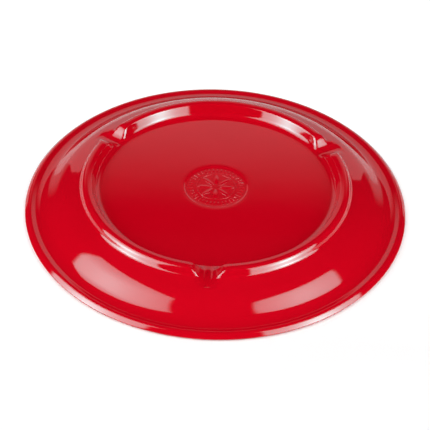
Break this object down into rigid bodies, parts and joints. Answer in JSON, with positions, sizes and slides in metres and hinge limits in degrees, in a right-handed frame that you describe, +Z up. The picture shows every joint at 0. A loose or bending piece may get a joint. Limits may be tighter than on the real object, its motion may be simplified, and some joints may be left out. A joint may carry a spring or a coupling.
{
  "type": "dinner plate",
  "caption": "Glossy moulded dinner plate lying face down, with a notched foot ring, a sloping shoulder, a shallow gutter and a rounded bead round the rim.",
  "frame": {"origin": "centre of the plate on the plane that its rim rests on, the plate lying face down", "axes": "+Z up through the centre, out of the foot ring's side; -Y towards one of the drain notches"},
  "size_m": [0.267, 0.267, 0.0225],
  "materials": {
    "red_melamine": "mirror-gloss compression-moulded melamine, coloured right through",
    "red_melamine_mark": "gloss, slightly softened by the shallow relief of the mould",
    "clear_glaze": "clear melamine glaze over the red moulding, mirror gloss"
  },
  "bodies": {
    "root": {"plate_body": "red_melamine", "face_glaze": "clear_glaze", "backstamp": "red_melamine_mark"}
  },
  "joints": []
}
